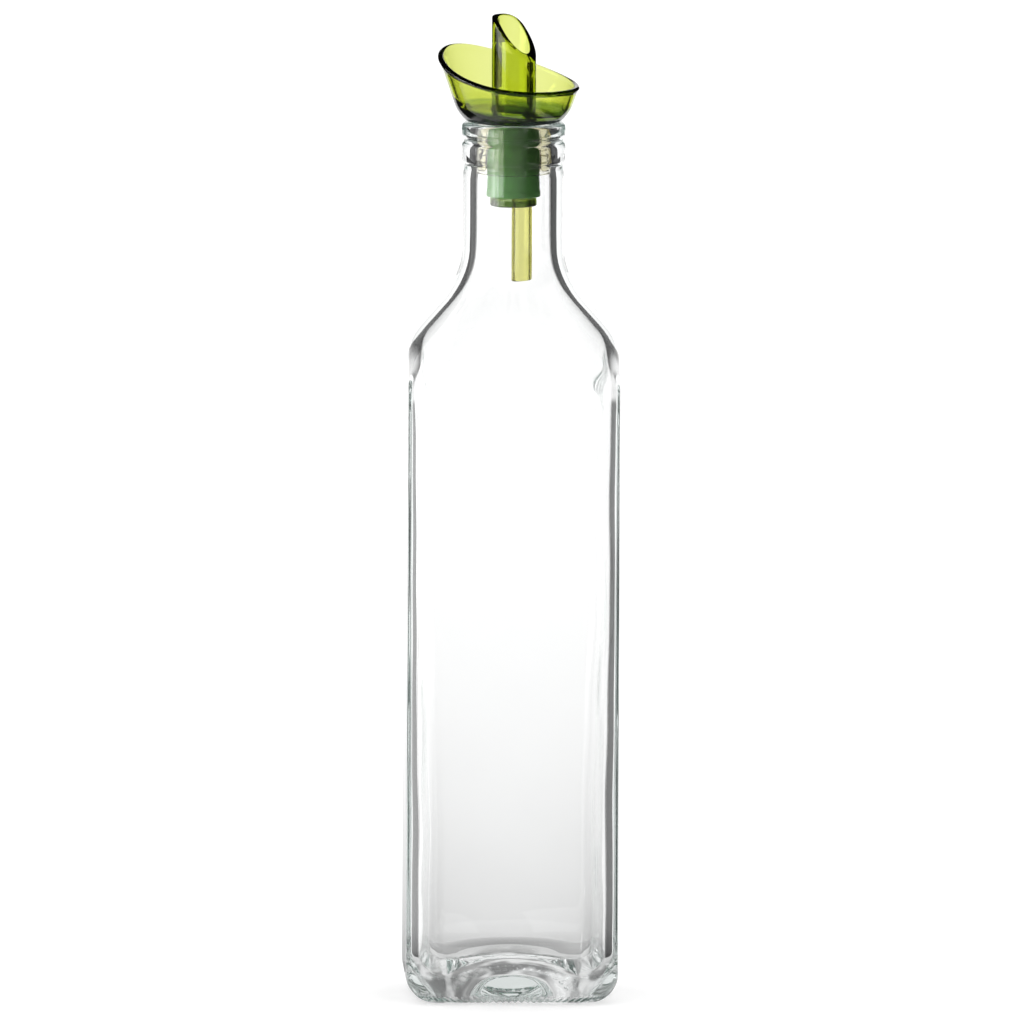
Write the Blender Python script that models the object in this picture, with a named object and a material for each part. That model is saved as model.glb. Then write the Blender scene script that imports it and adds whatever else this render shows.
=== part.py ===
"""Empty square oil bottle of clear glass, with a lime plastic pourer pushed into its mouth.

The bottle stands on the origin with its flat sides square to X and Y. Its shoulder is a
turned dome cut by the four flat sides, so every side ends in an arch. The pourer is one
moulding: a drip bowl, a slant-cut spout and a hollow stem. The stem carries a green plug,
a pale sealing ring round the plug, and the tube that lets air back into the bottle.
"""

import math

import bmesh
import bpy

# Bottle body
BODY_WIDTH = 0.0633
BODY_CORNER = 0.011
WALL = 0.0031
INNER_CORNER = 0.0079
HEEL_RADIUS = 0.0085
BEARING_WIDTH = 0.0032
PUSH_UP_HEIGHT = 0.0048
INNER_HEEL_RADIUS = 0.010
INNER_FLOOR_LOW = 0.0057
INNER_FLOOR_HIGH = 0.0110

# Bottle shoulder and neck
GLASS_TOP = 0.2615
NECK_RADIUS = 0.0151
NECK_WALL = 0.00375
BORE_RADIUS = 0.0112
FLARE_TOP = 0.2245
FLARE_RADIUS = 0.022
SHOULDER_ANGLE = math.radians(40.9)
ARCH_BLEND = 0.004
LIP_RADIUS = 0.0015
UPPER_RING = (0.2600, 0.2572)
LOWER_RING = (0.2556, 0.2496)
RING_RISE = 0.0008
RING_ROOT = 0.0147

# Pourer
FIT_GAP = 0.0003
POUR_TURN = math.radians(-36.5)
SPOUT_RADIUS = 0.0066
SPOUT_BORE = 0.0047
SPOUT_TOP = 0.2934
SPOUT_CUT_HEIGHT = 0.2887
SPOUT_CUT_SLOPE = 1.3
SPOUT_TIP_BLEND = 0.004
BOWL_WALL = 0.00175
BOWL_RIM_HEIGHT = 0.27503
BOWL_RIM_SLOPE = 0.237
BOWL_RIM_CURVE = 4.85
BOWL_CONE_RADIUS = 0.0176
BOWL_CONE_HEIGHT = 0.2668
BOWL_CONE_SLOPE = 0.348
BOWL_FOOT_RADIUS = 0.0141
BOWL_FLOOR_HEIGHT = 0.2647
BOWL_FLOOR_SLOPE = 0.14
BOWL_FILLET = 0.0018
SPOUT_FILLET = 0.0009
BORE_FLOOR = 0.2635
STEM_RADIUS = 0.0066
STEM_BEAD_RADIUS = 0.0070
STEM_BOTTOM = 0.2366
STEM_CAVITY_RADIUS = 0.0059
STEM_CAVITY_TOP = 0.2470
POUR_HOLE_RADIUS = 0.0022
POUR_HOLE_OFFSET = 0.0022
AIR_HOLE_RADIUS = 0.0010
SPIGOT_RADIUS = 0.0019
SPIGOT_BOTTOM = 0.2410

# Plug, sealing ring and air tube
PLUG_RADIUS = 0.0079
PLUG_FOOT_RADIUS = 0.0081
PLUG_BOTTOM = 0.2394
SEAL_BOTTOM = 0.2462
SEAL_GROOVE_DEPTH = 0.0008
SEAL_LIP_PITCH = 0.0016
TUBE_TURN = math.radians(-10.5)
TUBE_OFFSET = 0.0026
TUBE_RADIUS = 0.00305
TUBE_BORE = 0.0022
TUBE_BOTTOM = 0.2134
TUBE_CUT_SLOPE = 0.1

# Mesh fineness
BODY_SIDES = 48
BODY_CROWDING = 0.55
POURER_SIDES = 40
SMALL_SIDES = 32
TUBE_SIDES = 20
SHARP_ANGLE = math.radians(35)


def clear_scene():
    for item in list(bpy.data.objects):
        bpy.data.objects.remove(item, do_unlink=True)


def plastic(name, colour, roughness=0.2, transmission=0.0):
    """A Principled material; clear glass and clear plastics set its transmission."""
    material = bpy.data.materials.new(name)
    material.use_nodes = True
    material.diffuse_color = colour
    shader = material.node_tree.nodes["Principled BSDF"]
    shader.inputs["Base Color"].default_value = colour
    shader.inputs["Roughness"].default_value = roughness
    shader.inputs["Metallic"].default_value = 0.0
    shader.inputs["Transmission Weight"].default_value = transmission
    return material


def soft_min(a, b, blend):
    """The smaller of two lengths, with the crease between them rounded over the blend."""
    near = max(blend - abs(a - b), 0.0) / blend
    return min(a, b) - near * near * blend / 4


def even_angles(count):
    return [2 * math.pi * step / count for step in range(count)]


def crowded_angles(count, crowding):
    """Angles that stand closer together at the four corners of a square."""
    return [turn + crowding / 4 * math.sin(4 * turn) for turn in even_angles(count)]


def arc(centre, radius, start, end, steps):
    """Points (reach, height) along an arc, with angles in degrees from the outward side."""
    points = []
    for step in range(steps + 1):
        turn = math.radians(start + (end - start) * step / steps)
        reach = centre[0] + radius * math.cos(turn)
        points.append((reach, centre[1] + radius * math.sin(turn)))
    return points


def square_reach(angle, half, corner):
    """How far a rounded square reaches from its centre in one direction."""
    across, along = sorted((abs(math.cos(angle)), abs(math.sin(angle))))
    centre = half - corner
    if half * across / along <= centre:
        return half / along
    lean = centre * (across + along)
    return lean + math.sqrt(lean * lean - 2 * centre * centre + corner * corner)


def loft(name, rings, material, poles=None):
    """A closed body through rings of points: capped at its two poles, or joined end to end."""
    mesh = bmesh.new()
    loops = [[mesh.verts.new(point) for point in ring] for ring in rings]
    pairs = list(zip(loops, loops[1:]))
    if poles is None:
        pairs.append((loops[-1], loops[0]))
    for lower, upper in pairs:
        for here in range(len(lower)):
            after = (here + 1) % len(lower)
            mesh.faces.new((lower[here], lower[after], upper[after], upper[here]))
    for pole, loop in zip(poles or (), (loops[0], loops[-1])):
        tip = mesh.verts.new(pole)
        for here in range(len(loop)):
            mesh.faces.new((tip, loop[here], loop[(here + 1) % len(loop)]))
    bmesh.ops.recalc_face_normals(mesh, faces=mesh.faces)
    return finished(name, mesh, material)


def finished(name, mesh, material):
    data = bpy.data.meshes.new(name)
    mesh.to_mesh(data)
    mesh.free()
    data.materials.append(material)
    data.shade_smooth()
    data.set_sharp_from_angle(angle=SHARP_ANGLE)
    item = bpy.data.objects.new(name, data)
    bpy.context.scene.collection.objects.link(item)
    return item


def around(angles, place):
    """One ring of points, from a function that gives reach and height for an angle."""
    ring = []
    for angle in angles:
        reach, height = place(angle)
        ring.append((reach * math.cos(angle), reach * math.sin(angle), height))
    return ring


def turned(name, outline, sides, material):
    """A ring-shaped body of revolution from a closed outline of (reach, height) points."""
    angles = even_angles(sides)
    rings = [around(angles, lambda angle, point=point: point) for point in outline]
    return loft(name, rings, material)


def hidden_rod(name, radius, bottom, top, sides, offset, direction):
    """An upright rod that only cuts or joins another piece."""
    mesh = bmesh.new()
    bmesh.ops.create_cone(
        mesh, cap_ends=True, segments=sides, radius1=radius, radius2=radius, depth=top - bottom
    )
    data = bpy.data.meshes.new(name)
    mesh.to_mesh(data)
    mesh.free()
    rod = bpy.data.objects.new(name, data)
    bpy.context.scene.collection.objects.link(rod)
    middle = (bottom + top) / 2
    rod.location = (offset * math.cos(direction), offset * math.sin(direction), middle)
    rod.hide_render = True
    rod.display_type = "WIRE"
    return rod


def combine(item, other, operation):
    step = item.modifiers.new(other.name, "BOOLEAN")
    step.operation = operation
    step.object = other


def bulge(top, bottom, root, rise, steps):
    """A raised band round the neck: flat-topped, with both of its shoulders rounded."""
    points = []
    for step in range(steps + 1):
        place = 2 * step / steps - 1
        height = (top + bottom) / 2 - place * (top - bottom) / 2
        points.append((root + rise * math.sqrt(1 - place**4), height))
    return points


def dome_reach(height, offset):
    """The turned shoulder's reach at a height, moved inwards by the thickness of the glass."""
    radius = FLARE_RADIUS + offset
    end_height = FLARE_TOP - radius * math.sin(SHOULDER_ANGLE)
    centre = NECK_RADIUS + FLARE_RADIUS
    if height >= FLARE_TOP:
        return centre - radius
    if height > end_height:
        return centre - math.sqrt(radius**2 - (FLARE_TOP - height) ** 2)
    end_reach = centre - radius * math.cos(SHOULDER_ANGLE)
    return end_reach + (end_height - height) * math.tan(SHOULDER_ANGLE)


def shoulder_rings(angles, half, corner, offset):
    """The rings from the top of the flare down to where the flat sides take over."""
    lowest = FLARE_TOP - 0.0420
    arch_top = FLARE_TOP - 0.0222
    heights = [FLARE_TOP - (FLARE_TOP - arch_top) * step / 6 for step in range(6)]
    heights += [arch_top - (arch_top - lowest) * step / 8 for step in range(9)]

    def place(height):
        cap = dome_reach(height, offset)
        return lambda angle: (
            soft_min(square_reach(angle, half, corner), cap, ARCH_BLEND),
            height,
        )

    return [around(angles, place(height)) for height in heights]


def section(angles, half, roundness, height):
    """A level ring whose corners take up a given share of its half width."""
    corner = half * roundness
    return around(angles, lambda angle: (square_reach(angle, half, corner), height))


def outer_base_rings(angles):
    """Outside of the heel, the bearing ring and the hollow under the base."""
    half = BODY_WIDTH / 2
    rings = []
    for reach, height in arc((half - HEEL_RADIUS, HEEL_RADIUS), HEEL_RADIUS, 0, -90, 5):
        corner = BODY_CORNER - (half - reach)
        rings.append(section(angles, reach, corner / reach, height))
    inner = half - HEEL_RADIUS - BEARING_WIDTH
    rings.append(section(angles, inner, 0.25, 0.0))
    for share in (0.92, 0.75, 0.5, 0.25):
        height = PUSH_UP_HEIGHT * math.cos(share * math.pi / 2) ** 0.8
        rings.append(section(angles, inner * share, 1 - 0.75 * share**2, height))
    return rings


def inner_base_rings(angles):
    """Inside of the heel and the domed floor."""
    half = BODY_WIDTH / 2 - WALL
    start = INNER_FLOOR_LOW + INNER_HEEL_RADIUS
    centre = (half - INNER_HEEL_RADIUS, start)
    rings = []
    for reach, height in arc(centre, INNER_HEEL_RADIUS, 0, -90, 5):
        rings.append(section(angles, reach, INNER_CORNER / half, height))
    trough = half - INNER_HEEL_RADIUS
    for share in (0.8, 0.55, 0.3):
        rise = (1 + math.cos(share * math.pi)) / 2
        height = INNER_FLOOR_LOW + (INNER_FLOOR_HIGH - INNER_FLOOR_LOW) * rise
        rings.append(section(angles, trough * share, 1 - 0.7 * share, height))
    return rings


def finish_outline():
    """Outline of the mouth and neck: bore, lip, the two raised bands and the neck below."""
    lip_centre = (RING_ROOT + RING_RISE - LIP_RADIUS, GLASS_TOP - LIP_RADIUS)
    inside = [(BORE_RADIUS, GLASS_TOP - 0.0006), (BORE_RADIUS + 0.0006, GLASS_TOP)]
    lip = arc(lip_centre, LIP_RADIUS, 90, 20, 2)
    upper = bulge(*UPPER_RING, RING_ROOT, RING_RISE, 4)[2:]
    lower = bulge(*LOWER_RING, RING_ROOT, RING_RISE, 6)
    below = [
        (RING_ROOT, LOWER_RING[1] - 0.0012),
        (NECK_RADIUS - 0.0001, LOWER_RING[1] - 0.0036),
    ]
    return inside + lip + upper + lower + below


def make_bottle():
    """The glass, as one skin that runs up the inside, over the lip and down the outside."""
    glass = plastic("clear_glass", (0.90, 0.95, 0.93, 1), 0.03, 1.0)
    angles = crowded_angles(BODY_SIDES, BODY_CROWDING)
    half = BODY_WIDTH / 2
    rings = inner_base_rings(angles)[::-1]
    rings += shoulder_rings(angles, half - WALL, INNER_CORNER, NECK_WALL)[::-1]
    rings += [around(angles, lambda angle, point=point: point) for point in finish_outline()]
    rings += shoulder_rings(angles, half, BODY_CORNER, 0.0)
    rings += outer_base_rings(angles)
    poles = ((0, 0, INNER_FLOOR_HIGH), (0, 0, PUSH_UP_HEIGHT))
    return loft("bottle", rings, glass, poles)


def bowl_reach(height):
    """Outside of the drip bowl: a cone that tucks in towards its foot."""
    reach = BOWL_CONE_RADIUS + BOWL_CONE_SLOPE * (height - BOWL_CONE_HEIGHT)
    foot_height = GLASS_TOP + FIT_GAP
    tuck = max(0.0, (BOWL_CONE_HEIGHT - height) / (BOWL_CONE_HEIGHT - foot_height))
    straight = BOWL_CONE_RADIUS + BOWL_CONE_SLOPE * (foot_height - BOWL_CONE_HEIGHT)
    return reach - (straight - BOWL_FOOT_RADIUS) * tuck**2


def rim_height(angle):
    """Height of the bowl's slanted rim, lowest on the pouring side and curling up at both ends."""
    height = BOWL_RIM_HEIGHT
    for _ in range(6):
        along = bowl_reach(height) * math.cos(angle)
        height = BOWL_RIM_HEIGHT - BOWL_RIM_SLOPE * along + BOWL_RIM_CURVE * along**2
    return height


def floor_height(reach, angle):
    return BOWL_FLOOR_HEIGHT - BOWL_FLOOR_SLOPE * reach * math.cos(angle)


def cut_height(reach, angle):
    """Height of the spout's slant cut, with its tip rounded over."""
    slant = SPOUT_CUT_HEIGHT - SPOUT_CUT_SLOPE * reach * math.cos(angle)
    return soft_min(slant, SPOUT_TOP, SPOUT_TIP_BLEND)


def spout_rings(angles):
    """Up the spout's bore, over its cut edge and down its outside to the bowl's floor."""
    bevel = 0.0004
    wall_foot = SPOUT_RADIUS + SPOUT_FILLET

    def on_cut(reach, drop):
        return lambda angle: (reach, cut_height(reach, angle) - drop)

    def outside(share):
        def place(angle):
            low = floor_height(wall_foot, angle) + SPOUT_FILLET
            high = cut_height(SPOUT_RADIUS, angle) - bevel
            return SPOUT_RADIUS, high + (low - high) * share

        return place

    def fillet(turn):
        def place(angle):
            reach = wall_foot - SPOUT_FILLET * math.cos(turn)
            rise = SPOUT_FILLET * (1 - math.sin(turn))
            return reach, floor_height(reach, angle) + rise

        return place

    places = [
        lambda angle: (SPOUT_BORE - 0.0005, BORE_FLOOR),
        lambda angle: (SPOUT_BORE, BORE_FLOOR + 0.0005),
        on_cut(SPOUT_BORE, bevel),
        on_cut(SPOUT_BORE + bevel, 0.0),
        on_cut(SPOUT_RADIUS - bevel, 0.0),
    ]
    places += [outside(share) for share in (0.0, 0.4, 0.8)]
    places += [fillet(turn) for turn in (0.0, math.radians(45), math.radians(90))]
    return [around(angles, place) for place in places]


def bowl_rings(angles):
    """Across the slanted floor, up the bowl's inside, over its rim and down to the foot."""
    half_wall = BOWL_WALL / 2

    def corner(turn):
        def place(angle):
            top = bowl_reach(BOWL_FLOOR_HEIGHT + BOWL_FILLET) - BOWL_WALL
            reach = top - BOWL_FILLET * (1 - math.sin(turn))
            return reach, floor_height(reach, angle) + BOWL_FILLET * (1 - math.cos(turn))

        return place

    def inside(share):
        def place(angle):
            low = floor_height(BOWL_CONE_RADIUS - BOWL_WALL, angle) + BOWL_FILLET
            height = low + (rim_height(angle) - half_wall - low) * share
            return bowl_reach(height) - BOWL_WALL, height

        return place

    def rim(turn):
        def place(angle):
            height = rim_height(angle)
            reach = bowl_reach(height) - half_wall + half_wall * math.cos(turn)
            return reach, height - half_wall + half_wall * math.sin(turn)

        return place

    def outside(share):
        foot = GLASS_TOP + FIT_GAP + 0.0004

        def place(angle):
            height = foot + (rim_height(angle) - half_wall - foot) * share
            return bowl_reach(height), height

        return place

    places = [corner(math.radians(turn)) for turn in (0, 30, 60)]
    places += [inside(share) for share in (0.12, 0.4, 0.7)]
    places += [rim(math.radians(turn)) for turn in (180, 135, 90, 45, 0)]
    places += [outside(share) for share in (0.7, 0.45, 0.3, 0.18, 0.08, 0.0)]
    return [around(angles, place) for place in places]


def stem_outline():
    """Underside of the foot, the stem with its retaining bead, and the hollow in its end."""
    foot = GLASS_TOP + FIT_GAP
    bead = STEM_BEAD_RADIUS
    return [
        (BOWL_FOOT_RADIUS - 0.0004, foot),
        (STEM_RADIUS, foot),
        (STEM_RADIUS, PLUG_BOTTOM - 0.0004),
        (bead, PLUG_BOTTOM - 0.0009),
        (bead, STEM_BOTTOM + 0.0004),
        (bead - 0.0003, STEM_BOTTOM),
        (STEM_CAVITY_RADIUS, STEM_BOTTOM),
        (STEM_CAVITY_RADIUS, STEM_CAVITY_TOP),
    ]


def make_pourer():
    """Bowl, spout and stem in one clear lime moulding, with its pour hole and air hole."""
    lime = plastic("lime_plastic", (0.55, 0.68, 0.02, 1), 0.08, 0.9)
    angles = even_angles(POURER_SIDES)
    rings = spout_rings(angles) + bowl_rings(angles)
    rings += [around(angles, lambda angle, point=point: point) for point in stem_outline()]
    pourer = loft("pourer", rings, lime, ((0, 0, BORE_FLOOR), (0, 0, STEM_CAVITY_TOP)))
    pourer.rotation_euler.z = POUR_TURN
    above, below = BORE_FLOOR + 0.001, STEM_CAVITY_TOP - 0.001
    spigot = hidden_rod(
        "spigot", SPIGOT_RADIUS, SPIGOT_BOTTOM, STEM_CAVITY_TOP + 0.002, 16, TUBE_OFFSET, TUBE_TURN
    )
    air_hole = hidden_rod(
        "air_hole", AIR_HOLE_RADIUS, SPIGOT_BOTTOM - 0.001, above, 10, TUBE_OFFSET, TUBE_TURN
    )
    pour_hole = hidden_rod(
        "pour_hole", POUR_HOLE_RADIUS, below, above, 16, POUR_HOLE_OFFSET, TUBE_TURN + math.pi
    )
    combine(pourer, spigot, "UNION")
    combine(pourer, air_hole, "DIFFERENCE")
    combine(pourer, pour_hole, "DIFFERENCE")
    return pourer


def make_plug():
    """The green sleeve on the stem, with a slightly thicker foot."""
    green = plastic("green_plug", (0.13, 0.24, 0.08, 1), 0.3)
    bore = STEM_RADIUS + FIT_GAP
    outline = [
        (bore, GLASS_TOP),
        (PLUG_RADIUS, GLASS_TOP),
        (PLUG_RADIUS, PLUG_BOTTOM + 0.0022),
        (PLUG_FOOT_RADIUS, PLUG_BOTTOM + 0.0012),
        (PLUG_FOOT_RADIUS, PLUG_BOTTOM + 0.0003),
        (PLUG_FOOT_RADIUS - 0.0003, PLUG_BOTTOM),
        (bore, PLUG_BOTTOM),
    ]
    return turned("plug", outline, SMALL_SIDES, green)


def make_seal():
    """The pale ring between plug and glass, with two thin lips below its sleeve."""
    cream = plastic("cream_seal", (0.80, 0.74, 0.52, 1), 0.4)
    bore = PLUG_RADIUS + FIT_GAP
    reach = BORE_RADIUS - FIT_GAP
    outline = [(bore, GLASS_TOP), (reach - 0.0003, GLASS_TOP), (reach, GLASS_TOP - 0.0005)]
    for lip in (2, 1):
        root = SEAL_BOTTOM + lip * SEAL_LIP_PITCH
        outline.append((reach, root + 0.0004))
        outline.append((reach - SEAL_GROOVE_DEPTH, root))
        outline.append((reach - SEAL_GROOVE_DEPTH, root - 0.0004))
        outline.append((reach, root - 0.0008))
    outline += [(reach - 0.0002, SEAL_BOTTOM), (bore + 0.0006, SEAL_BOTTOM + 0.0003)]
    outline.append((bore, SEAL_BOTTOM + 0.0012))
    return turned("seal_ring", outline, SMALL_SIDES, cream)


def make_tube():
    """The air tube, pushed up over the spigot and cut a little askew at its lower end."""
    straw = plastic("air_tube_plastic", (0.60, 0.58, 0.16, 1), 0.3, 0.3)
    top = STEM_CAVITY_TOP - FIT_GAP

    def low(reach, rise):
        return lambda angle: (
            reach,
            TUBE_BOTTOM + rise + TUBE_CUT_SLOPE * reach * math.cos(angle),
        )

    places = [
        lambda angle: (TUBE_BORE, top),
        lambda angle: (TUBE_RADIUS, top),
        low(TUBE_RADIUS, 0.0003),
        low(TUBE_RADIUS - 0.0003, 0.0),
        low(TUBE_BORE, 0.0),
    ]
    angles = even_angles(TUBE_SIDES)
    tube = loft("vent_tube", [around(angles, place) for place in places], straw)
    tube.location = (TUBE_OFFSET * math.cos(TUBE_TURN), TUBE_OFFSET * math.sin(TUBE_TURN), 0)
    tube.rotation_euler.z = TUBE_TURN
    return tube


def main():
    clear_scene()
    make_bottle()
    make_pourer()
    make_plug()
    make_seal()
    make_tube()


main()
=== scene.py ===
"""Finished look of the square glass oil bottle with its lime pourer, on a pale floor."""

import math

import bmesh
import bpy
import numpy as np
from mathutils import Matrix, Vector

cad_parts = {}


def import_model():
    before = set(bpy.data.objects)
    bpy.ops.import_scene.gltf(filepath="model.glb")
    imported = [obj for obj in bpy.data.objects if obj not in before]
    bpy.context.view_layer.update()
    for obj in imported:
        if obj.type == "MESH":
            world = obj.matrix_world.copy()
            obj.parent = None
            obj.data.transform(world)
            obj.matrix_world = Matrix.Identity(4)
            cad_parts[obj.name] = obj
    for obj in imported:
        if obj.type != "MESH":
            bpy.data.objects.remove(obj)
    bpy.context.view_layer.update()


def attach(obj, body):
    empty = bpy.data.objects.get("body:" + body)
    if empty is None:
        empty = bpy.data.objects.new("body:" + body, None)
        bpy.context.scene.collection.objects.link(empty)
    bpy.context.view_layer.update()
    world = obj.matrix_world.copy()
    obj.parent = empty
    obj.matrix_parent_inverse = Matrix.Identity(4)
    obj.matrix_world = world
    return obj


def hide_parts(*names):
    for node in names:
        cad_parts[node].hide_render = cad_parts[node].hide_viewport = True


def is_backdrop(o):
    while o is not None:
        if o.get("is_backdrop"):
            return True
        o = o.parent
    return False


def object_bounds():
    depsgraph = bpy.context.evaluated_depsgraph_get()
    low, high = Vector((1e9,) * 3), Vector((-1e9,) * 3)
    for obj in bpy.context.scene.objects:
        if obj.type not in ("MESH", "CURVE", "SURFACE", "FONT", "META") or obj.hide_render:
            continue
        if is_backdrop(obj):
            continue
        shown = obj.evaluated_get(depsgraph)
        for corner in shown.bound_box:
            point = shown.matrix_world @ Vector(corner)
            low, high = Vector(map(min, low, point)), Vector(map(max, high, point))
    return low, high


# Bottle body, in metres; the beads start and fade in by degrees round the heel
BODY_WIDTH = 0.0633
BODY_CORNER = 0.011
WALL_HIGH, WALL_LOW = 0.0028, 0.0035
INNER_CORNER_HIGH, INNER_CORNER_LOW = 0.0077, 0.0082
THICKENS_FROM, THICKENS_TO = 0.135, 0.050
HEEL_RADIUS = 0.0085
BEARING_WIDTH = 0.0032
PUSH_UP_HEIGHT = 0.0048
INNER_HEEL_RADIUS = 0.010
INNER_FLOOR_LOW, INNER_FLOOR_HIGH = 0.0057, 0.0110
FLOOR_LIFT, FLOOR_FALL = 0.0024, 5.5
BEADS, BEAD_DEPTH = 120, 0.0008
BEADS_FROM, BEADS_FADE = 44, 12

# Waves of the inner wall: share, length in metres, turns round the bottle and start
UNEVENNESS, UNEVEN_FADE = 0.00012, 0.02
UNEVEN_WAVES = ((1.0, 0.083, 2, 0.7), (0.7, 0.047, -3, 2.1), (0.5, 0.029, 5, 0.0))

# Bottle shoulder and neck
GLASS_TOP = 0.2615
NECK_RADIUS = 0.0151
NECK_WALL = 0.00375
BORE_RADIUS, BORE_EDGE, BORE_START = 0.0112, 0.0008, 0.004
FLARE_TOP = 0.2245
FLARE_RADIUS = 0.022
SHOULDER_ANGLE = math.radians(40.9)
SHOULDER_END = 0.1825
ARCH_BLEND = 0.004
LIP_RADIUS = 0.0015
UPPER_RING = (0.2600, 0.2572)
LOWER_RING = (0.2556, 0.2496)
RING_RISE = 0.0008
RING_ROOT = 0.0147
RING_FOOT_DROP, NECK_START_DROP = 0.0010, 0.0042

# Pourer
POUR_TURN = math.radians(-36.5)
SPOUT_RADIUS, SPOUT_BORE = 0.0066, 0.0047
SPOUT_TOP, SPOUT_CUT_HEIGHT, SPOUT_CUT_SLOPE = 0.2934, 0.2887, 1.3
SPOUT_TIP_BLEND, SPOUT_EDGE = 0.004, 0.0005
BOWL_WALL = 0.00175
BOWL_RIM_HEIGHT, BOWL_RIM_SLOPE, BOWL_RIM_CURVE = 0.27503, 0.237, 4.85
BOWL_CONE_RADIUS, BOWL_CONE_HEIGHT, BOWL_CONE_SLOPE = 0.0176, 0.2668, 0.348
BOWL_FOOT_RADIUS, BOWL_FOOT_HEIGHT, BOWL_FOOT_EDGE = 0.0141, 0.2618, 0.0005
BOWL_FLOOR_HEIGHT, BOWL_FLOOR_SLOPE = 0.2647, 0.14
BOWL_FILLET, SPOUT_FILLET = 0.0018, 0.0009
BORE_FLOOR, BORE_FLOOR_EDGE = 0.2635, 0.0008
STEM_RADIUS, STEM_BEAD_RADIUS, STEM_BOTTOM = 0.0066, 0.0070, 0.2366
STEM_BEAD_EDGE, STEM_BEAD_DROP, STEM_END_EDGE = 0.0004, 0.0009, 0.0002
STEM_CAVITY_RADIUS, STEM_CAVITY_TOP, STEM_CAVITY_EDGE = 0.0059, 0.2470, 0.0006
POUR_HOLE_RADIUS, POUR_HOLE_OFFSET = 0.0022, 0.0022
AIR_HOLE_RADIUS = 0.0010
SPIGOT_RADIUS, SPIGOT_BOTTOM = 0.0019, 0.2410
CUT_OVERLAP = 0.001

# Plug, sealing ring and air tube
PLUG_RADIUS, PLUG_FOOT_RADIUS, PLUG_BORE, PLUG_BOTTOM = 0.0079, 0.0081, 0.0069, 0.2394
PLUG_STEP_TOP, PLUG_STEP_DEPTH = 0.0024, 0.001
SEAL_BORE, SEAL_RADIUS, SEAL_BOTTOM = 0.0081, 0.01112, 0.2462
SEAL_TOP_EDGE, SLEEVE_EDGE, BORE_INSET = 0.0004, 0.0003, 0.0002
SEAL_GROOVE_DEPTH, SEAL_LIP_PITCH = 0.0008, 0.0016
SEAL_FOOT_WIDTH, SEAL_FOOT_HEIGHT = 0.0006, 0.0012
TUBE_TURN, TUBE_OFFSET = math.radians(-10.5), 0.0026
TUBE_RADIUS, TUBE_BORE, TUBE_TOP, TUBE_BOTTOM = 0.00305, 0.0022, 0.2467, 0.2134
TUBE_CUT_SLOPE = 0.1

# Mesh fineness; every bead takes a whole number of the bottle's sides
BOTTLE_SIDES, POURER_SIDES, SLEEVE_SIDES, TUBE_SIDES, ROD_SIDES = 480, 144, 96, 64, 40
BODY_CROWDING = 0.45
WALL_RINGS, INNER_SHOULDER_RINGS, OUTER_SHOULDER_RINGS = 29, 34, 36
HEEL_TURNS = (*range(0, 61, 6), *range(64, 85, 4))
HOLLOW_SHARES = (0.96, 0.90, 0.82, 0.72, 0.60, 0.48, 0.36, 0.24, 0.10)
FLOOR_SHARES = (0.06, 0.14, 0.22, 0.32, 0.42, 0.52, 0.62, 0.72, 0.82, 0.92)

# The photograph's view
CAMERA_AZIMUTH, CAMERA_ELEVATION = -1.5, 7.0
CAMERA_ROLL = math.radians(0.25)
FRAME_WIDTH = 0.30485
AIM_HEIGHT = 0.1444
VIEW_HALF_ANGLE, VIEW_MARGIN = 0.4, 1.03

# The floor, and a card of painted shade under the foot that only glass can see
FLOOR_REACH, FLOOR_DROP = 9.0, 0.0001
FOOT_SHADE_REACH, FOOT_SHADE_LIFT = 0.075, 0.0003

# Cards that only glass and gloss can see, placed from the middle of the picture
CARD_SIDE, CARD_BEFORE, CARD_BEHIND = 0.06, 0.12, 0.06
CARD_LOW, CARD_NECK, CARD_HIGH = -0.2, 0.118, 0.2
LEFT_POURER_BEHIND, RIGHT_POURER_BEHIND = 0.20, 0.15
LEFT_GREY, RIGHT_GREY, FRONT_GREY, BLACK_GREY = 0.30, 0.18, 0.25, 0.01
FRONT_LEFT, FRONT_RIGHT, FRONT_TALL = -0.094, 0.35, 0.3
TOP_WIDE, TOP_ABOVE = 0.12, 0.175
BACK_WIDE, BACK_LOW, BACK_HIGH, BACK_BEHIND = 0.045, -0.01, 0.18, 0.065

# A ray that meets more surfaces of glass than this turns black
GLASS_BOUNCES = 60

TURN = 2 * math.pi
WHITE = (1, 1, 1, 1)

# Which end of its two ranges each corner of a rectangle takes
CORNERS = ((0, 0), (1, 0), (1, 1), (0, 1))


class Value:
    """A shader socket that can stand in a sum: each sign adds its own Math node."""

    def __init__(self, finish, socket):
        self.finish = finish
        self.socket = socket

    def __add__(self, other):
        return self.finish.maths("ADD", self, other)

    def __radd__(self, other):
        return self.finish.maths("ADD", other, self)

    def __sub__(self, other):
        return self.finish.maths("SUBTRACT", self, other)

    def __rsub__(self, other):
        return self.finish.maths("SUBTRACT", other, self)

    def __mul__(self, other):
        return self.finish.maths("MULTIPLY", self, other)

    def __rmul__(self, other):
        return self.finish.maths("MULTIPLY", other, self)


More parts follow.
